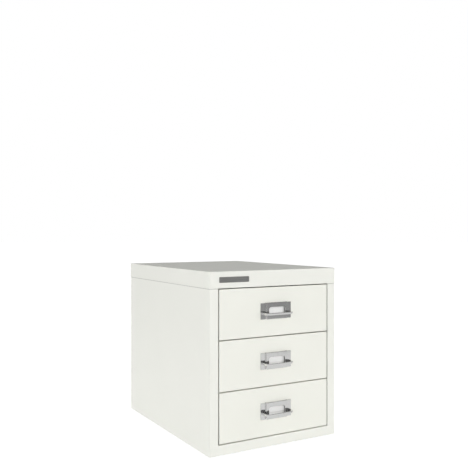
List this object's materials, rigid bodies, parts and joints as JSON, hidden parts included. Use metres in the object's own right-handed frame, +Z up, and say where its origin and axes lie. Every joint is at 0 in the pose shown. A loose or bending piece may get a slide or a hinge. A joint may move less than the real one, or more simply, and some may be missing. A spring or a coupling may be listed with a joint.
{
  "type": "multi-drawer storage cabinet",
  "caption": "Small white steel desktop cabinet with a stack of shallow pull-out drawers, each with a chrome label-holder pull handle.",
  "frame": {"origin": "middle of the overall box in plan, at the surface the feet stand on", "axes": "+Z up, the drawers open towards -Y, +X to the right of a person who faces the drawers"},
  "size_m": [0.279, 0.3977, 0.327],
  "materials": {
    "case_paint": "semi-gloss white powder coat",
    "drawer_paint": "semi-gloss white powder coat",
    "tray_paint": "semi-gloss white powder coat, a little duller inside",
    "runner_zinc": "bright zinc plate",
    "handle_chrome": "chrome on cast zinc",
    "fastener_steel": "zinc plated",
    "nylon": "natural nylon",
    "rubber": "matt",
    "label_card": "plain white card",
    "badge_grey": "satin grey, blank"
  },
  "bodies": {
    "carcass": {"side_panel_left": "case_paint", "side_panel_right": "case_paint", "back_panel": "case_paint", "base_pan": "case_paint", "lid": "case_paint", "front_top_rail": "case_paint", "rear_top_rail": "case_paint", "front_post_left": "case_paint", "front_post_right": "case_paint", "rear_post_left": "case_paint", "rear_post_right": "case_paint", "runner_1_left": "runner_zinc", "runner_1_right": "runner_zinc", "runner_2_left": "runner_zinc", "runner_2_right": "runner_zinc", "runner_3_left": "runner_zinc", "runner_3_right": "runner_zinc", "runner_pads": "nylon", "runner_rivets": "fastener_steel", "back_rivets": "fastener_steel", "rear_buffers": "rubber", "lid_nuts": "fastener_steel", "badge_plate": "badge_grey", "foot_front_left": "rubber", "foot_front_right": "rubber", "foot_rear_left": "rubber", "foot_rear_right": "rubber"},
    "drawer_1": {"drawer_1_tray": "tray_paint", "drawer_1_front": "drawer_paint", "drawer_1_handle": "handle_chrome", "drawer_1_handle_screws": "fastener_steel", "drawer_1_label_card": "label_card", "drawer_1_shoes": "nylon"},
    "drawer_2": {"drawer_2_tray": "tray_paint", "drawer_2_front": "drawer_paint", "drawer_2_handle": "handle_chrome", "drawer_2_handle_screws": "fastener_steel", "drawer_2_label_card": "label_card", "drawer_2_shoes": "nylon"},
    "drawer_3": {"drawer_3_tray": "tray_paint", "drawer_3_front": "drawer_paint", "drawer_3_handle": "handle_chrome", "drawer_3_handle_screws": "fastener_steel", "drawer_3_label_card": "label_card", "drawer_3_shoes": "nylon"}
  },
  "joints": [
    {"name": "drawer_1_slide", "type": "slide", "parent": "carcass", "child": "drawer_1", "axis": [0, -1, 0], "range_m": [0, 0.302]},
    {"name": "drawer_2_slide", "type": "slide", "parent": "carcass", "child": "drawer_2", "axis": [0, -1, 0], "range_m": [0, 0.302]},
    {"name": "drawer_3_slide", "type": "slide", "parent": "carcass", "child": "drawer_3", "axis": [0, -1, 0], "range_m": [0, 0.302]}
  ]
}
